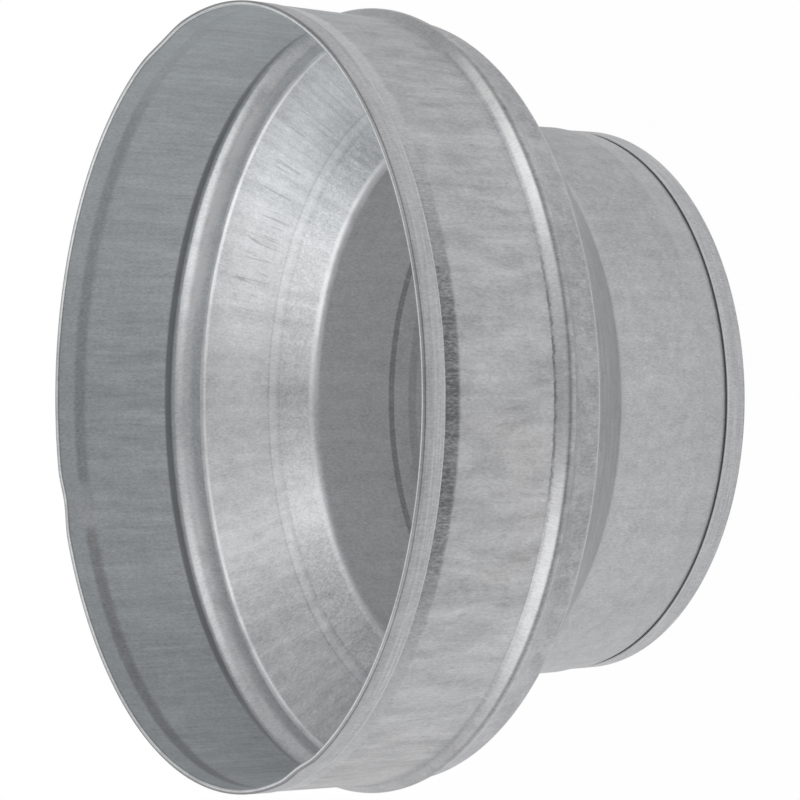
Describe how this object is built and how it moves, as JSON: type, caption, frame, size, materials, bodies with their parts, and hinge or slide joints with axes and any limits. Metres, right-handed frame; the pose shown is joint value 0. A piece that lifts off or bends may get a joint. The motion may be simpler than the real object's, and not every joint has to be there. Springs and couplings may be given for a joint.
{
  "type": "duct reducer",
  "caption": "Round sheet-metal duct reducer: a wide and a narrow male spigot joined by a short cone, with a stop bead round the wide one and hemmed rims.",
  "frame": {"origin": "on the duct axis, in the plane of the narrow rim that the reducer stands on", "axes": "+Z along the duct axis, from the narrow end to the wide mouth; X and Y lie across it, and the form is the same all round"},
  "size_m": [0.2034, 0.2034, 0.112],
  "materials": {
    "galvanised_steel": "satin zinc with fine draw marks along the axis"
  },
  "bodies": {
    "root": {"reducer_body": "galvanised_steel"}
  },
  "joints": []
}
